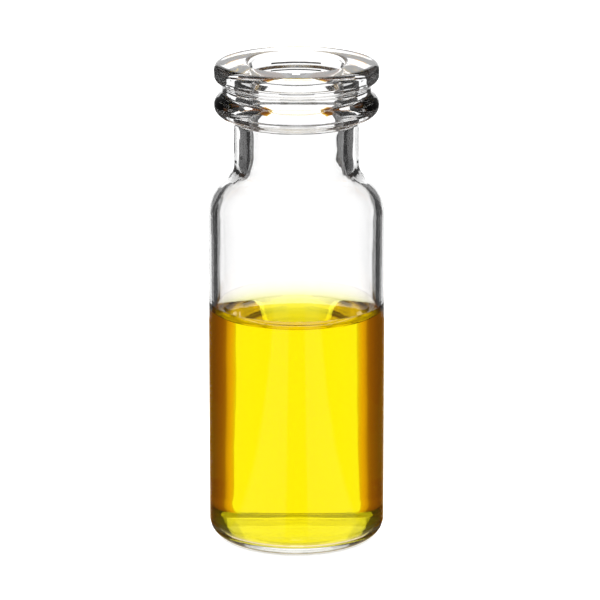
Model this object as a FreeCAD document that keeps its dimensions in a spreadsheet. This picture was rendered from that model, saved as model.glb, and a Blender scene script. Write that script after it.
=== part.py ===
import FreeCAD, Part
import math
import os
import re
import Sketcher
from FreeCAD import Vector

# A small glass sample vial, open at the top and half full of a golden liquid.
# Millimetres. The origin is the centre of the foot, on the surface the vial stands on; +Z is up.
# Each size that can be set by itself is one cell of the sheet, and every outline is tied to it.

SIZES = {
    # outside of the glass
    "overall_height": 32.0,
    "body_radius": 5.8,
    "heel_round": 1.25,
    "foot_radius": 3.5,
    "push_up": 0.12,
    "finish_height": 10.1,
    "shoulder_round": 2.9,
    "neck_round": 1.2,
    "neck_wall": 1.06,
    # the crown: a lower ring, a groove and the rim, each measured out from the neck
    "ring_drop": 2.8,
    "ring_reach": 1.29,
    "ring_round": 0.75,
    "groove_reach": 0.75,
    "groove_round": 0.4,
    "rim_reach": 1.29,
    "rim_round": 0.5,
    "rim_land": 0.3,
    # inside of the glass
    "wall": 0.6,
    "bore_radius": 3.05,
    "lip_round": 0.45,
    "inner_neck_round": 2.6,
    "inner_shoulder_drop": 0.05,
    "inner_shoulder_round": 2.3,
    "floor_thickness": 0.7,
    "floor_rise": 0.3,
    "inner_heel_round": 0.65,
    # the liquid
    "contact_height": 16.0,
    "meniscus_rise": 0.9,
    "meniscus_reach": 1.6,
}

# Lengths that follow from the sizes.
NECK_RADIUS = "(bore_radius + neck_wall)"
SHOULDER_Z = "(overall_height - finish_height)"
RING_X = f"({NECK_RADIUS} + ring_reach - ring_round)"
RING_Z = "(overall_height - ring_drop)"
GROOVE_X = f"({NECK_RADIUS} + groove_reach)"
RIM_X = f"({NECK_RADIUS} + rim_reach - rim_round)"
LAND_Z = "(overall_height - rim_round - rim_land)"
INNER_RADIUS = "(body_radius - wall)"
INNER_SHOULDER_Z = f"({SHOULDER_Z} - inner_shoulder_drop)"
CUTTER_TOP = "(overall_height + wall)"

GLOBAL_ORIGIN = (-1, 1)
RADIAL_AXIS = -1
UPRIGHT_AXIS = -2


def as_formula(text):
    """The text with the name of each size pointing at its cell."""
    return re.sub("[a-z_]+", lambda word: f"sizes.{word[0]}" if word[0] in SIZES else word[0], text)


def between(first, second, share):
    """The length that lies the given share of the way from one length to another."""
    return f"({first} + ({second} - {first}) * {share})"


def rise_between(radii, run):
    """Height between the centres of two touching arcs whose centres are run apart sideways."""
    return f"sqrt(({radii})^2 - ({run})^2)"


def dome_radius(rise, reach):
    """Radius of an arc that rises so much over such a reach."""
    return f"({rise}^2 + {reach}^2) / (2 * {rise})"


class Outline:
    """A closed half outline on a body's upright plane: x is the radius and y is the height."""

    def __init__(self, body, name):
        plane = next(item for item in body.Origin.OriginFeatures if item.Role == "XZ_Plane")
        self.sketch = body.newObject("Sketcher::SketchObject", name)
        self.sketch.AttachmentSupport = [(plane, "")]
        self.sketch.MapMode = "FlatFace"
        self.here = None
        self.last = None
        self.first = None

    def value(self, text):
        return float(self.sketch.evalExpression(as_formula(text)))

    def size(self, kind, ends, text):
        """A sized constraint, tied to the sheet."""
        constraint = Sketcher.Constraint(kind, *ends, self.value(text))
        index = self.sketch.addConstraint(constraint)
        self.sketch.setExpression(f"Constraints[{index}]", as_formula(text))

    def start(self, out, up):
        self.here = (out, up)
        self.corner = Vector(self.value(out), self.value(up), 0)
        return self

    def place(self, end):
        """Hold one end of an edge at the corner reached."""
        out, up = self.here
        if out == "0":
            self.sketch.addConstraint(Sketcher.Constraint("PointOnObject", *end, UPRIGHT_AXIS))
        else:
            self.size("DistanceX", (*GLOBAL_ORIGIN, *end), out)
        if up == "0":
            self.sketch.addConstraint(Sketcher.Constraint("PointOnObject", *end, RADIAL_AXIS))
        else:
            self.size("DistanceY", (*GLOBAL_ORIGIN, *end), up)

    def follow(self, start, end):
        """Join a new edge to the one before it."""
        if self.last is None:
            self.place(start)
            self.first = start
        else:
            self.sketch.addConstraint(Sketcher.Constraint("Coincident", *self.last, *start))
        self.last = end

    def line_to(self, out, up):
        target = Vector(self.value(out), self.value(up), 0)
        edge = self.sketch.addGeometry(Part.LineSegment(self.corner, target), False)
        self.follow((edge, 1), (edge, 2))
        self.here = (out, up)
        self.corner = target
        self.place((edge, 2))
        return self

    def arc_to(self, out, up, radius, centre_out, centre_up):
        """The short way round a centre to the next corner."""
        target = Vector(self.value(out), self.value(up), 0)
        centre = Vector(self.value(centre_out), self.value(centre_up), 0)
        begin = self.corner - centre
        finish = target - centre
        anticlockwise = begin.cross(finish).z > 0
        near, far = (begin, finish) if anticlockwise else (finish, begin)
        circle = Part.Circle(centre, Vector(0, 0, 1), self.value(radius))
        angles = (math.atan2(near.y, near.x), math.atan2(far.y, far.x))
        edge = self.sketch.addGeometry(Part.ArcOfCircle(circle, *angles), False)
        ends = ((edge, 1), (edge, 2)) if anticlockwise else ((edge, 2), (edge, 1))
        self.follow(*ends)
        self.here = (out, up)
        self.corner = target
        self.place(ends[1])
        self.size("Radius", (edge,), radius)
        return self

    def close(self):
        """Back along the axis to the first corner."""
        begin = self.sketch.Geometry[self.first[0]]
        target = begin.StartPoint if self.first[1] == 1 else begin.EndPoint
        edge = self.sketch.addGeometry(Part.LineSegment(self.corner, target), False)
        self.sketch.addConstraint(Sketcher.Constraint("Coincident", *self.last, edge, 1))
        self.sketch.addConstraint(Sketcher.Constraint("Coincident", edge, 2, *self.first))
        return self.sketch


def turned(body, kind, name, sketch):
    """Spin an outline about the vial's axis, to add or to cut."""
    feature = body.newObject(kind, name)
    feature.Profile = sketch
    feature.ReferenceAxis = (sketch, ["V_Axis"])
    feature.Angle = 360
    sketch.Visibility = False
    return feature


def draw_foot_and_wall(outline):
    """Pushed-up foot, standing ring, heel and straight wall."""
    dome = dome_radius("push_up", "foot_radius")
    outline.start("0", "push_up")
    outline.arc_to("foot_radius", "0", dome, "0", f"push_up - {dome}")
    outline.line_to("body_radius - heel_round", "0")
    outline.arc_to("body_radius", "heel_round", "heel_round",
                   "body_radius - heel_round", "heel_round")
    outline.line_to("body_radius", SHOULDER_Z)


def draw_shoulder(outline, wall, wall_end, outer_round, neck, hollow_round):
    """A round shoulder that runs into the neck through a hollow round."""
    centre = f"({wall} - {outer_round})"
    hollow = f"({neck} + {hollow_round})"
    climb = rise_between(f"{outer_round} + {hollow_round}", f"{hollow} - {centre}")
    share = f"{outer_round} / ({outer_round} + {hollow_round})"
    outline.arc_to(between(centre, hollow, share), f"{wall_end} + {climb} * {share}",
                   outer_round, centre, wall_end)
    outline.arc_to(neck, f"{wall_end} + {climb}", hollow_round, hollow, f"{wall_end} + {climb}")


def draw_crown(outline):
    """Lower ring, groove and rim with a short straight land, then the flat top."""
    under = f"({RING_X} - {NECK_RADIUS})"
    ring_climb = rise_between("ring_round + groove_round", f"{GROOVE_X} + groove_round - {RING_X}")
    rim_climb = rise_between("rim_round + groove_round", f"{GROOVE_X} + groove_round - {RIM_X}")
    ring_share = "ring_round / (ring_round + groove_round)"
    rim_share = "rim_round / (rim_round + groove_round)"
    hollow = f"({GROOVE_X} + groove_round)"
    outline.line_to(NECK_RADIUS, f"{RING_Z} - ring_round - {under}")
    outline.arc_to(RING_X, f"{RING_Z} - ring_round", under, RING_X, f"{RING_Z} - ring_round - {under}")
    outline.arc_to(f"{RING_X} + ring_round", RING_Z, "ring_round", RING_X, RING_Z)
    outline.arc_to(between(RING_X, hollow, ring_share), f"{RING_Z} + {ring_climb} * {ring_share}",
                   "ring_round", RING_X, RING_Z)
    outline.arc_to(GROOVE_X, f"{RING_Z} + {ring_climb}", "groove_round",
                   hollow, f"{RING_Z} + {ring_climb}")
    outline.line_to(GROOVE_X, f"{LAND_Z} - {rim_climb}")
    outline.arc_to(between(RIM_X, hollow, rim_share), f"{LAND_Z} - {rim_climb} * {rim_share}",
                   "groove_round", hollow, f"{LAND_Z} - {rim_climb}")
    outline.arc_to(f"{RIM_X} + rim_round", LAND_Z, "rim_round", RIM_X, LAND_Z)
    outline.line_to(f"{RIM_X} + rim_round", "overall_height - rim_round")
    outline.arc_to(RIM_X, "overall_height", "rim_round", RIM_X, "overall_height - rim_round")
    outline.line_to("0", "overall_height")


def draw_floor(outline):
    """Domed floor and rounded inner heel, up to the inner wall."""
    dome = dome_radius("floor_rise", f"({INNER_RADIUS} - inner_heel_round)")
    outline.start("0", "floor_thickness + floor_rise")
    outline.arc_to(f"{INNER_RADIUS} - inner_heel_round", "floor_thickness", dome,
                   "0", f"floor_thickness + floor_rise - {dome}")
    outline.arc_to(INNER_RADIUS, "floor_thickness + inner_heel_round", "inner_heel_round",
                   f"{INNER_RADIUS} - inner_heel_round", "floor_thickness + inner_heel_round")


def draw_mouth(outline):
    """Bore and rounded lip, carried on above the rim so that the cut runs clear."""
    outline.line_to("bore_radius", "overall_height - lip_round")
    outline.arc_to("bore_radius + lip_round", "overall_height", "lip_round",
                   "bore_radius + lip_round", "overall_height - lip_round")
    outline.line_to("bore_radius + lip_round", CUTTER_TOP)
    outline.line_to("0", CUTTER_TOP)


def make_glass_vial(doc):
    """One piece of glass: the whole outside turned solid, then the inside cut out of it."""
    body = doc.addObject("PartDesign::Body", "glass_vial")
    outside = Outline(body, "outside_outline")
    draw_foot_and_wall(outside)
    draw_shoulder(outside, "body_radius", SHOULDER_Z, "shoulder_round", NECK_RADIUS, "neck_round")
    draw_crown(outside)
    turned(body, "PartDesign::Revolution", "formed_glass", outside.close())
    inside = Outline(body, "inside_outline")
    draw_floor(inside)
    inside.line_to(INNER_RADIUS, INNER_SHOULDER_Z)
    draw_shoulder(inside, INNER_RADIUS, INNER_SHOULDER_Z, "inner_shoulder_round",
                  "bore_radius", "inner_neck_round")
    draw_mouth(inside)
    turned(body, "PartDesign::Groove", "hollow", inside.close())
    return body


def make_liquid_sample(doc):
    """The liquid: it fills the glass to the contact height, with a surface hollowed by the wall."""
    body = doc.addObject("PartDesign::Body", "liquid_sample")
    outline = Outline(body, "liquid_outline")
    surface = "(contact_height - meniscus_rise)"
    edge = f"({INNER_RADIUS} - meniscus_reach)"
    sweep = dome_radius("meniscus_rise", "meniscus_reach")
    draw_floor(outline)
    outline.line_to(INNER_RADIUS, "contact_height")
    outline.arc_to(edge, surface, sweep, edge, f"{surface} + {sweep}")
    outline.line_to("0", surface)
    turned(body, "PartDesign::Revolution", "still_liquid", outline.close())
    return body


def make_sheet(doc):
    """The sheet of driving sizes, one size a row."""
    sheet = doc.addObject("Spreadsheet::Sheet", "sizes")
    for row, (name, value) in enumerate(SIZES.items(), start=1):
        sheet.set(f"A{row}", name)
        sheet.set(f"B{row}", str(value))
        sheet.setAlias(f"B{row}", name)
    doc.recompute()


def check_document(doc):
    """Stop if any object failed to build or any outline isn't fully held."""
    for item in doc.Objects:
        if "Invalid" in item.State or "Error" in item.State:
            raise RuntimeError(f"{item.Name} did not build: {item.State}")
        if item.TypeId == "Sketcher::SketchObject" and item.solve() != 0:
            raise RuntimeError(f"{item.Name} does not solve")


def write_parts(bodies):
    """One file for each sub-part, named by its label."""
    os.makedirs("parts", exist_ok=True)
    for body in bodies:
        shape = body.Shape
        if shape.isNull() or not shape.isValid() or not shape.Solids:
            raise RuntimeError(f"{body.Label} has no valid solid")
        shape.exportStep(f"parts/{body.Label}.step")
        print(f"{body.Label}: {shape.Volume:.1f} cubic mm")


doc = FreeCAD.newDocument("sample_vial")
make_sheet(doc)
sub_parts = [make_glass_vial(doc), make_liquid_sample(doc)]
for sub_part in sub_parts:
    sub_part.Label = sub_part.Name
    sub_part.Placement = FreeCAD.Placement()
doc.recompute()
check_document(doc)
solid_volume = doc.getObject("formed_glass").Shape.Volume
if doc.getObject("hollow").Shape.Volume >= solid_volume:
    raise RuntimeError("the hollow was not cut")
write_parts(sub_parts)
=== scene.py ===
# %% [markdown]
# # A glass sample vial, half full of a golden liquid
# The real vial is one piece of glass. A tube is softened in a flame, its mouth is rolled into a
# crown of two rings, and its other end is closed and pushed up a little into a foot. The liquid is the
# only other thing in it. Glass has almost no colour of its own, so this scene is a lesson in shape,
# bending of light, and what stands round the glass.
#
# The solid model made in CAD comes first. Everything below takes its place and size from it.

# %% Load the frame
import math

import bpy
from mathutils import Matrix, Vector


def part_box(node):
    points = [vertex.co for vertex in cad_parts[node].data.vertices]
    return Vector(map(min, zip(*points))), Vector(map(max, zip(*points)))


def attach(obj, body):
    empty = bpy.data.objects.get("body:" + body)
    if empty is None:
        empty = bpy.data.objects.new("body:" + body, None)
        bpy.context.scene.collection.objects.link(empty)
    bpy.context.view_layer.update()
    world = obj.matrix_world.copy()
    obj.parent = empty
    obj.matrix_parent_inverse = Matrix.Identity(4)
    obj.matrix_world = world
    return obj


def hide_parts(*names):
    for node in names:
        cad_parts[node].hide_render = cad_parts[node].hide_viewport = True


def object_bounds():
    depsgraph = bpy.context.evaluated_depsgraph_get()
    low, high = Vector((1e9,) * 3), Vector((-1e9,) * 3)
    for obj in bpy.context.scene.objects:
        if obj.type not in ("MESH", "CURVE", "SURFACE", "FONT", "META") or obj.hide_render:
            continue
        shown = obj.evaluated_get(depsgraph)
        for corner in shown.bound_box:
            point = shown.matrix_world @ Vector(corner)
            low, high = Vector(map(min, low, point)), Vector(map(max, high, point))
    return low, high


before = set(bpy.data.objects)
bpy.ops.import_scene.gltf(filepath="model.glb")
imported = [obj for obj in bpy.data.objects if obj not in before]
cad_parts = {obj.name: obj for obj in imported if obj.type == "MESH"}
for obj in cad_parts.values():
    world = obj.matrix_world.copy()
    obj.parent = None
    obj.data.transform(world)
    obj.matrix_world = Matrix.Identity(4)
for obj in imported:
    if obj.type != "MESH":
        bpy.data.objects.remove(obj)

cad_low, cad_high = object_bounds()
liquid_low, liquid_high = (Vector(corner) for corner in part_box("liquid_sample"))
print("CAD box in mm:", [round(value * 1000, 2) for value in (*cad_low, *cad_high)])

# %% [markdown]
# ## The sizes of the vial
# The height, the width of the body and the level of the liquid are read from the frame. The rest are
# the maker's sizes in millimetres, the same that the CAD model is turned from.

# %% Sizes
MM = 0.001
HEIGHT = cad_high.z - cad_low.z
BODY_RADIUS = (cad_high.x - cad_low.x) / 2
CONTACT_HEIGHT = liquid_high.z
INNER_RADIUS = (liquid_high.x - liquid_low.x) / 2

HEEL_ROUND = 1.25 * MM
FOOT_RADIUS = 3.5 * MM
PUSH_UP = 0.12 * MM
SHOULDER_HEIGHT = HEIGHT - 10.1 * MM
SHOULDER_ROUND = 2.9 * MM
BORE_RADIUS = 3.05 * MM
NECK_RADIUS = BORE_RADIUS + 1.06 * MM
NECK_ROUND = 1.2 * MM
RING_HEIGHT = HEIGHT - 2.8 * MM
RING_ROUND = 0.75 * MM
CROWN_RADIUS = NECK_RADIUS + 1.29 * MM
GROOVE_RADIUS = NECK_RADIUS + 0.75 * MM
GROOVE_ROUND = 0.4 * MM
RIM_ROUND = 0.5 * MM
RIM_LAND = 0.3 * MM
LIP_ROUND = 0.45 * MM
INNER_NECK_ROUND = 2.6 * MM
INNER_SHOULDER_HEIGHT = SHOULDER_HEIGHT - 0.05 * MM
INNER_SHOULDER_ROUND = 2.3 * MM
FLOOR = liquid_low.z - cad_low.z
FLOOR_RISE = 0.3 * MM
INNER_HEEL_ROUND = 0.65 * MM
MENISCUS_RISE = 0.9 * MM
print("liquid up to mm:", round(CONTACT_HEIGHT / MM, 3))
print("wall in mm:", round((BODY_RADIUS - INNER_RADIUS) / MM, 2))

# %% [markdown]
# ## A line to turn
# A glass blower turns the tube in a lathe, and everything on it is round. So each piece starts as half
# an outline: points given by their distance from the axis and their height. Straight and round
# stretches are enough. Each point also carries how far the finished skin may wander there, because hot
# glass never comes out quite true: a drawn tube is nearly perfect, while a neck and crown that were
# pressed by a tool are not.

# %% Straight and round stretches
class Outline:
    """Half an outline, as (radius, height, wander) in metres."""

    def __init__(self):
        self.points = []

    def straight(self, start, end, wander, steps):
        """Points from start up to but not including end."""
        for step in range(steps):
            share = step / steps
            radius = start[0] + (end[0] - start[0]) * share
            height = start[1] + (end[1] - start[1]) * share
            self.points.append((radius, height, wander))

    def rounded(self, centre, radius, start, end, wander, steps):
        """Points round a centre, from one angle in degrees up to but not including another."""
        for step in range(steps):
            angle = math.radians(start + (end - start) * step / steps)
            self.points.append((centre[0] + radius * math.cos(angle),
                                centre[1] + radius * math.sin(angle), wander))

    def end(self, radius, height, wander):
        self.points.append((radius, height, wander))

    def even_out(self, reach):
        """Let the wander rise and fall gently along the line, so that no step shows in the skin."""
        run = [0.0]
        for before, after in zip(self.points, self.points[1:]):
            run.append(run[-1] + math.hypot(after[0] - before[0], after[1] - before[1]))
        evened = []
        for here, (radius, height, _) in zip(run, self.points):
            shares = [math.exp(-((there - here) / reach) ** 2) for there in run]
            total = sum(share * point[2] for share, point in zip(shares, self.points))
            evened.append((radius, height, total / sum(shares)))
        self.points = evened


def touching(first, first_radius, second_x, second_radius, side=1):
    """Height of a round that touches another from outside, and the angle between their centres."""
    run = second_x - first[0]
    climb = math.sqrt((first_radius + second_radius) ** 2 - run ** 2) * side
    return first[1] + climb, math.degrees(math.atan2(climb, run))


# %% [markdown]
# ## The outline of the glass
# It starts at the middle of the pushed-up foot, goes up the outside to the rim, over the lip and down
# the inside to the middle of the floor. A full turn of this one line closes the whole piece.

# %% Outline of the glass
TRUE_TUBE = 0.003 * MM
WORKED_GLASS = 0.012 * MM
PRESSED_BORE = 0.02 * MM
THICK_FLOOR = 0.001 * MM
EVEN_OUT_REACH = 0.8 * MM


def dome(rise, reach):
    """Radius of an arc that rises so much over such a reach, and half its angle in degrees."""
    radius = (rise * rise + reach * reach) / (2 * rise)
    return radius, math.degrees(math.asin(reach / radius))


def draw_foot(outline):
    radius, half_angle = dome(PUSH_UP, FOOT_RADIUS)
    heel = (BODY_RADIUS - HEEL_ROUND, HEEL_ROUND)
    outline.rounded((0, PUSH_UP - radius), radius, 90, 90 - half_angle, 0, 14)
    outline.straight((FOOT_RADIUS, 0), (heel[0], 0), 0, 4)
    outline.rounded(heel, HEEL_ROUND, -90, 0, 0, 20)


def draw_shoulder(outline, wall, height, shoulder, neck, hollow, wander):
    """From the wall over the shoulder into the neck; returns where the neck begins."""
    centre = (wall - shoulder, height)
    neck_z, angle = touching(centre, shoulder, neck + hollow, hollow)
    outline.rounded(centre, shoulder, 0, angle, wander, 22)
    outline.rounded((neck + hollow, neck_z), hollow, 180 + angle, 180, wander, 14)
    return neck_z


def draw_crown(outline):
    ring = (CROWN_RADIUS - RING_ROUND, RING_HEIGHT)
    rim_x = CROWN_RADIUS - RIM_ROUND
    land_z = HEIGHT - RIM_ROUND - RIM_LAND
    hollow_x = GROOVE_RADIUS + GROOVE_ROUND
    under = ring[0] - NECK_RADIUS
    low_z, low_angle = touching(ring, RING_ROUND, hollow_x, GROOVE_ROUND)
    high_z, high_angle = touching((rim_x, land_z), RIM_ROUND, hollow_x, GROOVE_ROUND, -1)
    under_z = RING_HEIGHT - RING_ROUND - under
    outline.rounded((ring[0], under_z), under, 180, 90, WORKED_GLASS, 8)
    outline.rounded(ring, RING_ROUND, -90, low_angle, WORKED_GLASS, 24)
    outline.rounded((hollow_x, low_z), GROOVE_ROUND, 180 + low_angle, 180, WORKED_GLASS, 6)
    outline.rounded((hollow_x, high_z), GROOVE_ROUND, 180, 180 + high_angle, WORKED_GLASS, 6)
    outline.rounded((rim_x, land_z), RIM_ROUND, high_angle, 0, WORKED_GLASS, 12)
    outline.straight((CROWN_RADIUS, land_z), (CROWN_RADIUS, HEIGHT - RIM_ROUND), 0, 2)
    outline.rounded((rim_x, HEIGHT - RIM_ROUND), RIM_ROUND, 0, 90, 0, 14)
    outline.straight((rim_x, HEIGHT), (BORE_RADIUS + LIP_ROUND, HEIGHT), 0, 5)
    outline.rounded((BORE_RADIUS + LIP_ROUND, HEIGHT - LIP_ROUND), LIP_ROUND, 90, 180, 0, 12)


def draw_inside(outline):
    """Down the bore, over the inner shoulder, down the wall and in over the floor."""
    going_up = Outline()
    bore_z = draw_shoulder(going_up, INNER_RADIUS, INNER_SHOULDER_HEIGHT, INNER_SHOULDER_ROUND,
                           BORE_RADIUS, INNER_NECK_ROUND, TRUE_TUBE)
    outline.straight((BORE_RADIUS, HEIGHT - LIP_ROUND), (BORE_RADIUS, bore_z), PRESSED_BORE, 26)
    outline.end(BORE_RADIUS, bore_z, PRESSED_BORE)
    outline.points += going_up.points[:0:-1]
    draw_wet_wall(outline, INNER_SHOULDER_HEIGHT, 0)


def draw_wet_wall(outline, top, sunk):
    """Down the inner wall, round the heel and in over the domed floor, sunk a little into the glass."""
    centre = (INNER_RADIUS - INNER_HEEL_ROUND, FLOOR + INNER_HEEL_ROUND)
    radius, half_angle = dome(FLOOR_RISE, centre[0])
    outline.straight((INNER_RADIUS + sunk, top), (INNER_RADIUS + sunk, centre[1]), TRUE_TUBE, 30)
    outline.rounded(centre, INNER_HEEL_ROUND + sunk, 0, -90, THICK_FLOOR, 22)
    outline.rounded((0, FLOOR + FLOOR_RISE - radius), radius - sunk, 90 - half_angle, 90, THICK_FLOOR, 14)
    outline.end(0, FLOOR + FLOOR_RISE - sunk, THICK_FLOOR)


glass_outline = Outline()
draw_foot(glass_outline)
glass_outline.straight((BODY_RADIUS, HEEL_ROUND), (BODY_RADIUS, SHOULDER_HEIGHT), 0, 30)
neck_start = draw_shoulder(glass_outline, BODY_RADIUS, SHOULDER_HEIGHT, SHOULDER_ROUND,
                           NECK_RADIUS, NECK_ROUND, WORKED_GLASS)
neck_end = RING_HEIGHT - RING_ROUND - (CROWN_RADIUS - RING_ROUND - NECK_RADIUS)
glass_outline.straight((NECK_RADIUS, neck_start), (NECK_RADIUS, neck_end), WORKED_GLASS, 14)
draw_crown(glass_outline)
draw_inside(glass_outline)
glass_outline.even_out(EVEN_OUT_REACH)
print("glass outline:", len(glass_outline.points), "points")

# %% [markdown]
# ## The outline of the liquid
# A liquid that wets glass climbs the wall: its surface is level in the middle and curls up at the edge.
# Two fading curves added together give that, a broad one for the pull of the surface and a narrow
# one for the sharp lip at the glass.
#
# The liquid must touch the glass with no air between. Two skins at the same place would flicker, so the
# liquid is sunk a twentieth of a millimetre into the wall. Light then meets both skins one after the
# other, and comes out in the same direction as through one shared surface.

# %% Outline of the liquid
SUNK = 0.05 * MM
BROAD_CLIMB = 0.22
BROAD_REACH = 1.6 * MM
NARROW_REACH = 0.28 * MM
SURFACE_STEPS = 60
CROWDING = 1.7
LIP_DROP = 0.02 * MM


def surface_height(radius):
    """Height of the liquid's surface at a distance from the axis."""
    gap = INNER_RADIUS - min(radius, INNER_RADIUS)
    far_gap = 2 * INNER_RADIUS - gap
    broad = math.exp(-gap / BROAD_REACH) + math.exp(-far_gap / BROAD_REACH)
    narrow = math.exp(-gap / NARROW_REACH)
    climb = MENISCUS_RISE * (BROAD_CLIMB * broad + (1 - BROAD_CLIMB) * narrow)
    return CONTACT_HEIGHT - MENISCUS_RISE + climb


def draw_surface(outline):
    """From the wall to the middle, with the points crowded together at the wall."""
    for step in range(SURFACE_STEPS):
        share = step / SURFACE_STEPS
        radius = INNER_RADIUS * (1 - share ** CROWDING)
        outline.end(radius, min(surface_height(radius), CONTACT_HEIGHT), 0)
    outline.end(0, surface_height(0), 0)


liquid_outline = Outline()
draw_surface(liquid_outline)
liquid_outline.points.reverse()
liquid_outline.end(INNER_RADIUS + SUNK, CONTACT_HEIGHT, 0)
draw_wet_wall(liquid_outline, CONTACT_HEIGHT - LIP_DROP, SUNK)
liquid_outline.points.reverse()
print("liquid outline:", len(liquid_outline.points), "points")

# %% [markdown]
# ## Node trees written as sums
# A node tree is easier to read as arithmetic. This small class wraps a socket, so that adding two of
# them adds a Math node. A second class makes any other node from its type, its settings and what goes
# into its sockets. Both serve the geometry and the finishes.

# %% A socket that can be added and multiplied
class Wire:
    """The output of a node, ready for sums."""

    def __init__(self, bench, socket):
        self.bench = bench
        self.socket = socket

    def math(self, operation, first, second):
        return self.bench.node("ShaderNodeMath", {"operation": operation}, {0: first, 1: second})[0]

    def __add__(self, other):
        return self.math("ADD", self, other)

    def __radd__(self, other):
        return self.math("ADD", other, self)

    def __sub__(self, other):
        return self.math("SUBTRACT", self, other)

    def __rsub__(self, other):
        return self.math("SUBTRACT", other, self)

    def __mul__(self, other):
        return self.math("MULTIPLY", self, other)

    def __rmul__(self, other):
        return self.math("MULTIPLY", other, self)

    def __truediv__(self, other):
        return self.math("DIVIDE", self, other)

    def __rtruediv__(self, other):
        return self.math("DIVIDE", other, self)

    def __mod__(self, other):
        return self.math("FLOORED_MODULO", self, other)


class Bench:
    """A node tree being built."""

    def __init__(self, tree):
        self.tree = tree

    def node(self, kind, settings=None, inputs=None):
        """Make a node; settings first, then sockets by name or number. Returns its outputs."""
        made = self.tree.nodes.new(kind)
        for name, value in (settings or {}).items():
            if name == "stops":
                self.set_stops(made.color_ramp, value)
            else:
                setattr(made, name, value)
        for name, value in (inputs or {}).items():
            if isinstance(value, Wire):
                self.tree.links.new(value.socket, made.inputs[name])
            else:
                made.inputs[name].default_value = value
        return Outputs(self, made)

    def set_stops(self, ramp, stops):
        while len(ramp.elements) < len(stops):
            ramp.elements.new(1.0)
        for element, (position, colour) in zip(ramp.elements, stops):
            element.position = position
            element.color = colour


class Outputs:
    """The outputs of one node, by name or number."""

    def __init__(self, bench, made):
        self.bench = bench
        self.made = made

    def __getitem__(self, name):
        return Wire(self.bench, self.made.outputs[name])


# %% [markdown]
# ## The lathe
# This is a Geometry Nodes tree. It makes a flat grid, one column for each step round and one row for
# each point of the outline. Every grid point looks up its own outline point by its row number, and
# its column number gives the angle. The grid is wrapped into a round skin, pushed in and out a
# little by a soft noise, and its seam and poles are merged. Spin or Screw would give the same round,
# but not the hand of the glass blower.

# %% Lathe tree
SAME_POINT = 0.5e-6
STREAK_DETAIL = 2.0
STREAK_ROUGHNESS = 0.45
STREAK_SWING = 3.0


def make_lathe():
    tree = bpy.data.node_groups.new("glass_lathe", "GeometryNodeTree")
    sockets = (("Outline", "INPUT", "NodeSocketGeometry"), ("Steps Round", "INPUT", "NodeSocketInt"),
               ("Streak Width", "INPUT", "NodeSocketFloat"), ("Streak Length", "INPUT", "NodeSocketFloat"),
               ("Seed", "INPUT", "NodeSocketFloat"), ("Finish", "INPUT", "NodeSocketMaterial"),
               ("Turned", "OUTPUT", "NodeSocketGeometry"))
    for name, side, kind in sockets:
        tree.interface.new_socket(name, in_out=side, socket_type=kind)
    bench = Bench(tree)
    given = bench.node("NodeGroupInput")
    rows = bench.node("GeometryNodeAttributeDomainSize", {}, {"Geometry": given["Outline"]})["Point Count"]
    columns = given["Steps Round"] + 1
    grid = bench.node("GeometryNodeMeshGrid", {}, {"Vertices X": columns, "Vertices Y": rows})["Mesh"]
    index = bench.node("GeometryNodeInputIndex")["Index"]
    row = index % rows
    column = bench.node("ShaderNodeMath", {"operation": "FLOOR"}, {0: (index + 0.5) / rows})[0]
    angle = (column % given["Steps Round"]) * math.tau / given["Steps Round"]
    point = look_up(bench, given["Outline"], bench.node("GeometryNodeInputPosition")["Position"], row)
    away = bench.node("GeometryNodeInputNamedAttribute", {"data_type": "FLOAT_VECTOR"}, {"Name": "away"})
    drift = look_up(bench, given["Outline"], away["Attribute"], row)
    turn = {"rotation_type": "AXIS_ANGLE"}
    spun = bench.node("ShaderNodeVectorRotate", turn, {"Vector": point, "Angle": angle})["Vector"]
    pushed = bench.node("ShaderNodeVectorRotate", turn, {"Vector": drift, "Angle": angle})["Vector"]
    place = push(bench, given, spun, pushed)
    placed = bench.node("GeometryNodeSetPosition", {}, {"Geometry": grid, "Position": place})["Geometry"]
    merged = bench.node("GeometryNodeMergeByDistance", {}, {"Geometry": placed, "Distance": SAME_POINT})
    smooth = bench.node("GeometryNodeSetShadeSmooth", {}, {"Geometry": merged["Geometry"]})["Geometry"]
    whole = bench.node("GeometryNodeRealizeInstances", {}, {"Geometry": smooth})["Geometry"]
    finished = bench.node("GeometryNodeSetMaterial", {}, {"Geometry": whole, "Material": given["Finish"]})
    bench.node("NodeGroupOutput", {}, {"Turned": finished["Geometry"]})
    return tree


def look_up(bench, outline, field, row):
    """The value of a field at one point of the outline."""
    inputs = {"Geometry": outline, "Value": field, "Index": row}
    return bench.node("GeometryNodeSampleIndex", {"data_type": "FLOAT_VECTOR"}, inputs)["Value"]


def push(bench, given, place, drift):
    """Move a place along its drift by a noise drawn out into upright streaks."""
    width = 1 / given["Streak Width"]
    length = 1 / given["Streak Length"]
    stretch = bench.node("ShaderNodeCombineXYZ", {}, {"X": width, "Y": width, "Z": length})["Vector"]
    spread = bench.node("ShaderNodeVectorMath", {"operation": "MULTIPLY"}, {0: place, 1: stretch})["Vector"]
    noise_inputs = {"Vector": spread, "W": given["Seed"], "Scale": 1.0, "Detail": STREAK_DETAIL,
                    "Roughness": STREAK_ROUGHNESS}
    noise = bench.node("ShaderNodeTexNoise", {"noise_dimensions": "4D"}, noise_inputs)["Fac"]
    share = (noise - 0.5) * STREAK_SWING
    moved = bench.node("ShaderNodeVectorMath", {"operation": "SCALE"}, {0: drift, "Scale": share})["Vector"]
    return bench.node("ShaderNodeVectorMath", {"operation": "ADD"}, {0: place, 1: moved})["Vector"]


lathe = make_lathe()
print("lathe tree:", len(lathe.nodes), "nodes")

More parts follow.
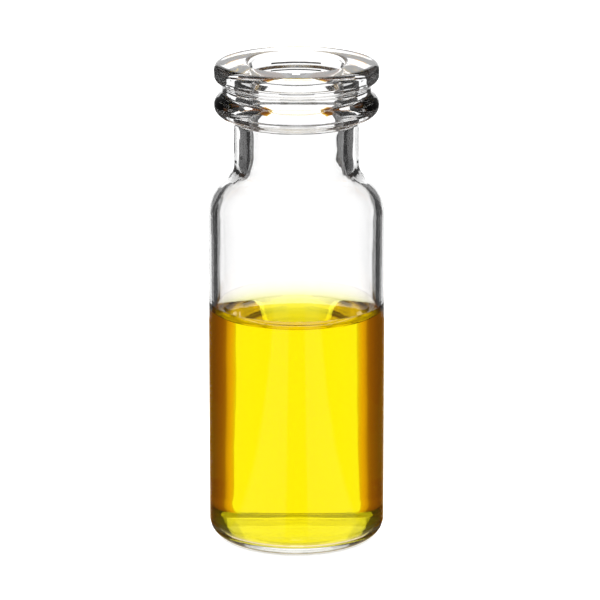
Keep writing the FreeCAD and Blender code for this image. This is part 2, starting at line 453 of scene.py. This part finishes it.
# %% [markdown]
# ## From outline to piece
# The outline goes to the lathe as a chain of edges. Each of its points carries its drift, which is the
# sideways direction times the wander allowed there. The turned skin is kept as a plain mesh, and then
# gauged, as a vial is before it is packed: nothing stands outside its stated size.

# %% Turn an outline into a piece
def outline_mesh(name, outline):
    """The outline as a chain of edges that carries its drift."""
    mesh = bpy.data.meshes.new(name)
    places = [(radius, 0, height) for radius, height, wander in outline.points]
    mesh.from_pydata(places, [(i, i + 1) for i in range(len(places) - 1)], [])
    drift = mesh.attributes.new("away", "FLOAT_VECTOR", "POINT")
    last = len(places) - 1
    for i, (radius, height, wander) in enumerate(outline.points):
        before = Vector(places[max(i - 1, 0)])
        after = Vector(places[min(i + 1, last)])
        along = (after - before).normalized()
        sideways = Vector((along.z, 0, -along.x)) * wander
        if i in (0, last):
            sideways.x = 0
        drift.data[i].vector = sideways
    return mesh


def gauge(mesh):
    """Bring back the few points that the wander put a hair outside the vial's own size."""
    for point in mesh.vertices:
        point.co.z = min(point.co.z, HEIGHT)
        over = max(math.hypot(point.co.x, point.co.y) / BODY_RADIUS, 1)
        point.co.x /= over
        point.co.y /= over


def turn_piece(name, outline, finish, steps_round, streak_width, streak_length, seed):
    """Spin the outline with the lathe and keep the result as a plain mesh."""
    blank = bpy.data.objects.new(name + "_outline", outline_mesh(name + "_outline", outline))
    bpy.context.scene.collection.objects.link(blank)
    modifier = blank.modifiers.new("lathe", "NODES")
    modifier.node_group = lathe
    values = {"Steps Round": steps_round, "Streak Width": streak_width,
              "Streak Length": streak_length, "Seed": seed, "Finish": finish}
    for item in lathe.interface.items_tree:
        if item.name in values:
            modifier[item.identifier] = values[item.name]
    graph = bpy.context.evaluated_depsgraph_get()
    mesh = bpy.data.meshes.new_from_object(blank.evaluated_get(graph))
    mesh.name = name
    gauge(mesh)
    bpy.data.objects.remove(blank)
    piece = bpy.data.objects.new(name, mesh)
    bpy.context.scene.collection.objects.link(piece)
    return piece


# %% [markdown]
# ## The finish of the glass
# Clear laboratory glass bends light by 1.5 and takes almost nothing from it. What makes it look like
# glass and not like air with edges is its skin: fine lines drawn along the tube, faint waves, and a
# breath of handling haze.

# %% Glass finish
GLASS_BEND = 1.5
DRAWN_LINES = (900, 900, 60)
HAZE_SCALE = 260.0
WAVES_SCALE = 420.0
LINES_SHARE = 0.6
HAZE_STRENGTH = 0.02
SKIN_STRENGTH = 0.02
SKIN_DEPTH = 0.0004


def new_finish(name):
    material = bpy.data.materials.new(name)
    material.use_nodes = True
    material.node_tree.nodes.clear()
    return material, Bench(material.node_tree)


def make_glass():
    material, bench = new_finish("clear_glass")
    place = bench.node("ShaderNodeTexCoord")["Object"]
    drawn = bench.node("ShaderNodeMapping", {}, {"Vector": place, "Scale": DRAWN_LINES})["Vector"]
    lines = bench.node("ShaderNodeTexNoise", {}, {"Vector": drawn, "Scale": 1.0, "Detail": 3.0})["Fac"]
    haze_inputs = {"Vector": place, "Scale": HAZE_SCALE, "Detail": 4.0, "Roughness": 0.6}
    haze = bench.node("ShaderNodeTexNoise", {}, haze_inputs)["Fac"]
    waves_inputs = {"Vector": place, "Scale": WAVES_SCALE, "Detail": 1.0}
    waves = bench.node("ShaderNodeTexNoise", {}, waves_inputs)["Fac"]
    skin = lines * LINES_SHARE + waves * (1 - LINES_SHARE)
    bump_inputs = {"Strength": SKIN_STRENGTH, "Distance": SKIN_DEPTH, "Height": skin}
    bump = bench.node("ShaderNodeBump", {}, bump_inputs)
    inputs = {"Base Color": (1.0, 1.0, 1.0, 1.0), "Roughness": haze * HAZE_STRENGTH, "IOR": GLASS_BEND,
              "Transmission Weight": 1.0, "Normal": bump["Normal"]}
    glass = bench.node("ShaderNodeBsdfPrincipled", {}, inputs)["BSDF"]
    bench.node("ShaderNodeOutputMaterial", {}, {"Surface": glass})
    return material


glass_finish = make_glass()

# %% [markdown]
# ## The finish of the liquid
# The liquid is clear too, but it swallows blue light and a little green on the way through. A Volume
# Absorption does this by distance, so a thin corner is pale and the full width is a strong gold, as in
# real life. A colour on the surface couldn't do that.

# %% Liquid finish
LIQUID_BEND = 1.333
RED_LEFT = 0.99
GREEN_LEFT = 0.84
BLUE_LEFT = 0.002
SWIRL_SCALE = 300.0
SWIRL_STRENGTH = 0.01
SWIRL_DEPTH = 0.0003


def absorb(share_left, path):
    """How strongly a metre absorbs, when this share is left after a path."""
    return -math.log(share_left) / path


def make_liquid():
    material, bench = new_finish("golden_liquid")
    place = bench.node("ShaderNodeTexCoord")["Object"]
    swirl_inputs = {"Vector": place, "Scale": SWIRL_SCALE, "Detail": 2.0}
    swirl = bench.node("ShaderNodeTexNoise", {}, swirl_inputs)["Fac"]
    bump_inputs = {"Strength": SWIRL_STRENGTH, "Distance": SWIRL_DEPTH, "Height": swirl}
    bump = bench.node("ShaderNodeBump", {}, bump_inputs)
    inputs = {"Base Color": (1.0, 1.0, 1.0, 1.0), "Roughness": swirl * 0.01, "IOR": LIQUID_BEND,
              "Transmission Weight": 1.0, "Normal": bump["Normal"]}
    surface = bench.node("ShaderNodeBsdfPrincipled", {}, inputs)["BSDF"]
    across = 2 * INNER_RADIUS
    red = absorb(RED_LEFT, across)
    green = absorb(GREEN_LEFT, across)
    blue = absorb(BLUE_LEFT, across)
    colour = (1 - red / blue, 1 - green / blue, 0.0, 1.0)
    gold = bench.node("ShaderNodeVolumeAbsorption", {}, {"Color": colour, "Density": blue})["Volume"]
    bench.node("ShaderNodeOutputMaterial", {}, {"Surface": surface, "Volume": gold})
    return material


liquid_finish = make_liquid()

# %% [markdown]
# ## Turn both pieces
# Both pieces are turned with the same steps, streaks and seed. So the wet wall of the liquid wanders
# almost as the glass does, and the thin layer between their skins stays nearly even all round.

# %% Glass and liquid
STEPS_ROUND = 256
STREAK_WIDTH = 1.1 * MM
STREAK_LENGTH = 5.0 * MM
SEED = 3.0
glass = turn_piece("glass_vial_skin", glass_outline, glass_finish, STEPS_ROUND, STREAK_WIDTH,
                   STREAK_LENGTH, SEED)
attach(glass, "root")
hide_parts("glass_vial")

liquid = turn_piece("golden_liquid_fill", liquid_outline, liquid_finish, STEPS_ROUND, STREAK_WIDTH,
                    STREAK_LENGTH, SEED)
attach(liquid, "root")
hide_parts("liquid_sample")
for piece in (glass, liquid):
    print(piece.name, len(piece.data.vertices), "vertices", len(piece.data.polygons), "faces")

# %% [markdown]
# ## The camera
# A long lens from a little above, far enough back that the sides of the vial stay nearly parallel.

# %% Camera
CAMERA_TILT = math.radians(15.3)
CAMERA_DISTANCE = 290 * MM
LENS = 264.7
NEAREST_SEEN = 10 * MM
FARTHEST_SEEN = 20
AIM_ASIDE = 0.22 * MM
aim = Vector((AIM_ASIDE, 0, HEIGHT / 2))

camera_data = bpy.data.cameras.new("camera")
camera_data.lens = LENS
camera_data.clip_start = NEAREST_SEEN
camera_data.clip_end = FARTHEST_SEEN
camera = bpy.data.objects.new("camera", camera_data)
bpy.context.scene.collection.objects.link(camera)
back = Vector((0, -math.cos(CAMERA_TILT), math.sin(CAMERA_TILT)))
camera.location = aim + back * CAMERA_DISTANCE
camera.rotation_mode = "QUATERNION"
camera.rotation_quaternion = (-back).to_track_quat("-Z", "Y")
bpy.context.scene.camera = camera
print("camera in mm:", [round(value / MM, 1) for value in camera.location])

# %% [markdown]
# ## Light for glass
# Clear glass shows only what it bends. A bright room all round leaves it nearly invisible, so glass is
# lit from behind: a white ground fills the middle, and darker boards stand close at both sides, out of
# sight. The edges of the glass bend the boards into the picture as dark lines. The white ground is
# only just white, so that the small losses at every skin of the glass still show as pale greys. High up
# the room is a pale grey, which the top of the rim picks up, and low down it is brighter, as over a lit
# table, because the surface of the liquid sends its view steeply down.

# %% White room
GROUND = 1.25
ROOM = 3.0
TABLE_GLOW = 0.45
FLOOR_HALF = 3.0
ROOM_LEVELS = ((0.0, 2.0), (0.08, 2.0), (0.16, 1.5), (0.37, GROUND), (0.60, GROUND), (0.70, 0.85),
               (1.0, 0.75))


def grey(level):
    return (level, level, level, 1)


def make_room():
    """Even white for the picture and the paint; a level for each height for light bent by glass."""
    world = bpy.data.worlds.new("white_room")
    bpy.context.scene.world = world
    world.use_nodes = True
    world.node_tree.nodes.clear()
    bench = Bench(world.node_tree)
    place = bench.node("ShaderNodeTexCoord")["Generated"]
    upward = bench.node("ShaderNodeSeparateXYZ", {}, {"Vector": place})["Z"]
    stops = [(position, grey(level / 2)) for position, level in ROOM_LEVELS]
    level = bench.node("ShaderNodeValToRGB", {"stops": stops}, {0: upward * 0.5 + 0.5})["Color"]
    seen = bench.node("ShaderNodeLightPath")
    bent = seen["Is Transmission Ray"] + seen["Is Glossy Ray"]
    even = bench.node("ShaderNodeBackground", {}, {"Color": grey(1), "Strength": ROOM})["Background"]
    levelled = bench.node("ShaderNodeBackground", {}, {"Color": level, "Strength": 2.0})["Background"]
    light = bench.node("ShaderNodeMixShader", {}, {0: bent, 1: even, 2: levelled})["Shader"]
    bench.node("ShaderNodeOutputWorld", {}, {"Surface": light})


def stage_piece(name, corners, faces, material):
    """A flat piece of the studio, not of the vial."""
    mesh = bpy.data.meshes.new(name)
    mesh.from_pydata(corners, [], faces)
    mesh.materials.append(material)
    piece = bpy.data.objects.new(name, mesh)
    bpy.context.scene.collection.objects.link(piece)
    return piece


def make_floor():
    material, bench = new_finish("pale_floor")
    paint = bench.node("ShaderNodeBsdfDiffuse", {}, {"Color": grey(0.8)})["BSDF"]
    glow = bench.node("ShaderNodeEmission", {}, {"Color": grey(1), "Strength": TABLE_GLOW})["Emission"]
    both = bench.node("ShaderNodeAddShader", {}, {0: paint, 1: glow})["Shader"]
    bench.node("ShaderNodeOutputMaterial", {}, {"Surface": both})
    half = FLOOR_HALF
    corners = [(-half, -half, 0), (half, -half, 0), (half, half, 0), (-half, half, 0)]
    floor = stage_piece("floor", corners, [(0, 1, 2, 3)], material)
    floor.visible_transmission = False
    floor.visible_glossy = False


make_room()
make_floor()
print("room levels:", len(ROOM_LEVELS), "white ground:", GROUND)

# %% [markdown]
# ## A stand that turns with the camera
# The boards stand on a stand at the middle of the vial. It turns as the camera turns, so the vial keeps
# its dark edges from every side. Only glass and mirrors see the boards. A board takes its colour from
# its own place: Z is how near the camera, X is how far to the side, and Y is how high.

# %% Stand and boards
stand = bpy.data.objects.new("stand", None)
bpy.context.scene.collection.objects.link(stand)
stand.location = (0, 0, HEIGHT / 2)
follow = stand.constraints.new("COPY_ROTATION")
follow.target = camera


def hide_from_room(piece):
    piece.visible_camera = False
    piece.visible_diffuse = False
    piece.visible_shadow = False
    piece.visible_volume_scatter = False


def make_board(name, corners, colour):
    """A glowing board on the stand; colour makes its colour from its place."""
    material, bench = new_finish(name)
    material.cycles.emission_sampling = "NONE"
    place = bench.node("ShaderNodeTexCoord")["Object"]
    apart = bench.node("ShaderNodeSeparateXYZ", {}, {"Vector": place})
    glow = bench.node("ShaderNodeEmission", {}, {"Color": colour(bench, apart), "Strength": 1.0})["Emission"]
    bench.node("ShaderNodeOutputMaterial", {}, {"Surface": glow})
    board = stage_piece(name, corners, [(0, 1, 2, 3)], material)
    board.parent = stand
    hide_from_room(board)


def plain(level):
    """The colour of a board that is the same grey all over."""
    def colour(bench, apart):
        wire = bench.node("ShaderNodeRGB")["Color"]
        wire.socket.default_value = grey(level)
        return wire
    return colour


def upright(x, low, high, front, back):
    """The corners of a board beside the vial."""
    return [(x, low, front), (x, low, back), (x, high, back), (x, high, front)]


def facing(half, low, high, z):
    """The corners of a board in front of the vial or behind it."""
    return [(-half, low, z), (half, low, z), (half, high, z), (-half, high, z)]


# %% [markdown]
# ## Side boards
# The upper side boards are grey, darker towards the camera, and give the empty glass its lines. The
# deeper a board is, the wider its line. The lower ones are glowing gold cards whose colour is painted
# light and shade: brown near the vial, amber, and pale gold at the far end. This stands for the table
# shaded beside the vial and lit amber by the liquid. They give the liquid its brown and amber sides.
# Below the height where the liquid sees them they are grey, which keeps some of the brown out of the crown.

# %% Grey boards and gold cards
BOARD_SIDE = 21.4 * MM
BOARD_TOP = 300 * MM
BOARD_FRONT = 100 * MM
SPLIT = -2.0 * MM
GOLD_FOOT = -60.0 * MM
GREY_DEPTH = 42.3 * MM
GOLD_DEPTH = 62.2 * MM
GOLD_LOWEST = -20.0 * MM
UNDER_GOLD = 0.15
GREY_STOPS = ((0.0, grey(0.03)), (0.35, grey(0.04)), (1.0, grey(0.13)))
# Painted light and shade on the gold cards: dim brown near the vial, rising to amber and pale gold at the
# far end.
GOLD_GLOW_STOPS = ((0.0, (0.10, 0.04, 0.01, 1)), (0.30, (0.15, 0.05, 0.01, 1)), (0.50, (0.19, 0.065, 0.01, 1)),
              (0.57, (0.24, 0.08, 0.01, 1)), (0.68, (0.33, 0.115, 0.01, 1)),
              (0.745, (0.42, 0.18, 0.02, 1)), (0.79, (0.70, 0.35, 0.03, 1)),
              (0.83, (0.86, 0.45, 0.04, 1)), (0.88, (0.98, 0.54, 0.05, 1)),
              (0.95, (1.0, 0.69, 0.10, 1)), (1.0, (1.0, 0.95, 0.50, 1)))


def grey_by_depth(bench, apart):
    depth = (0 - apart["Z"]) / GREY_DEPTH
    return bench.node("ShaderNodeValToRGB", {"stops": GREY_STOPS}, {0: depth})["Color"]


# The gold card's glow is painted light: brown shade near the vial, amber further out, pale gold at the far
# end.
def gold_glow_by_depth(bench, apart):
    depth = (0 - apart["Z"]) / GOLD_DEPTH
    gold = bench.node("ShaderNodeValToRGB", {"stops": GOLD_GLOW_STOPS}, {0: depth})["Color"]
    low = bench.node("ShaderNodeMath", {"operation": "LESS_THAN"}, {0: apart["Y"], 1: GOLD_LOWEST})[0]
    return bench.node("ShaderNodeMix", {"data_type": "RGBA"}, {0: low, 6: gold, 7: grey(UNDER_GOLD)})[2]


for side, label in ((-1, "left"), (1, "right")):
    grey_corners = upright(side * BOARD_SIDE, SPLIT, BOARD_TOP, BOARD_FRONT, -GREY_DEPTH)
    gold_corners = upright(side * BOARD_SIDE, GOLD_FOOT, SPLIT, BOARD_FRONT, -GOLD_DEPTH)
    make_board(label + "_grey_board", grey_corners, grey_by_depth)
    make_board(label + "_gold_card", gold_corners, gold_glow_by_depth)
print("gap between the side boards in mm:", round(2 * BOARD_SIDE / MM, 1))

# %% [markdown]
# ## Boards in front and behind
# Dark boards in front keep bright stripes off the near face of the vial. A low white card behind lights
# the floor of the vial, which mirrors what stands a little higher. A small dark card high up behind is
# what the flat surface of the liquid mirrors, so the surface shows the gold under it and not a white
# sheen.

# %% Front boards, white card and dark card
FRONT_FOOT = -170 * MM
CARD_HALF = 7.7 * MM
CARD_TOP = 13.5 * MM
CARD_DEPTH = 30 * MM
DARK_HALF = 9 * MM
DARK_LOW = 30 * MM
DARK_HIGH = 39 * MM
DARK_DEPTH = 60 * MM
CAMERA_SIDE_DARK = 0.02
BOARD_DARK = 0.03
camera_corners = facing(BOARD_SIDE, FRONT_FOOT, BOARD_TOP, BOARD_FRONT)
make_board("camera_board", camera_corners, plain(CAMERA_SIDE_DARK))
for side, label in ((-1, "left"), (1, "right")):
    front_corners = upright(side * BOARD_SIDE, FRONT_FOOT, GOLD_FOOT, BOARD_FRONT, 0)
    make_board(label + "_front_board", front_corners, plain(BOARD_DARK))
make_board("low_white_card", facing(CARD_HALF, GOLD_FOOT, CARD_TOP, -CARD_DEPTH), plain(GROUND))
make_board("dark_card_above", facing(DARK_HALF, DARK_LOW, DARK_HIGH, -DARK_DEPTH), plain(BOARD_DARK))
print("low white card is", round(2 * CARD_HALF / MM, 1), "mm wide")

# %% [markdown]
# ## Golden light under the foot
# Light that comes down through the liquid leaves a warm glow on the table under the foot. The surface of
# the liquid shows it at its two sides and round its edge. A disc under the vial stands for it: warm in
# the middle and brown at the heel, where the vial shades the table.

# %% Glow under the foot
GLOW_RADIUS = 6.2 * MM
GLOW_DROP = 0.02 * MM
GLOW_STEPS = 64
UNDER_FOOT = (0.55, 0.47, 0.3, 1)
HEEL_SHADE = (0.06, 0.03, 0.01, 1)
GLOW_STOPS = ((0.0, UNDER_FOOT), (0.80, UNDER_FOOT), (0.92, HEEL_SHADE))


def make_glow():
    material, bench = new_finish("glow_under_foot")
    material.cycles.emission_sampling = "NONE"
    place = bench.node("ShaderNodeTexCoord")["Object"]
    away = bench.node("ShaderNodeVectorMath", {"operation": "LENGTH"}, {0: place})["Value"]
    level = bench.node("ShaderNodeValToRGB", {"stops": GLOW_STOPS}, {0: away / GLOW_RADIUS})["Color"]
    glow = bench.node("ShaderNodeEmission", {}, {"Color": level, "Strength": 2.0})["Emission"]
    bench.node("ShaderNodeOutputMaterial", {}, {"Surface": glow})
    angles = [step * math.tau / GLOW_STEPS for step in range(GLOW_STEPS)]
    ring = [(GLOW_RADIUS * math.cos(angle), GLOW_RADIUS * math.sin(angle), 0) for angle in angles]
    disc = stage_piece("glow_under_foot", ring, [tuple(range(GLOW_STEPS))], material)
    disc.location.z = -GLOW_DROP
    hide_from_room(disc)


make_glow()
print("glow under the foot, radius in mm:", round(GLOW_RADIUS / MM, 1))

# %% [markdown]
# ## How the picture is taken
# Light has to cross many skins of glass and liquid, so the ray depth is raised. The plain Standard view
# keeps white paper white and the gold saturated.

# %% View and depth
scene = bpy.context.scene
scene.view_settings.view_transform = "Standard"
MANY_SKINS = 32
scene.cycles.max_bounces = MANY_SKINS
scene.cycles.transmission_bounces = MANY_SKINS
scene.cycles.glossy_bounces = 16
scene.cycles.transparent_max_bounces = MANY_SKINS
print("skins a ray may cross:", MANY_SKINS)
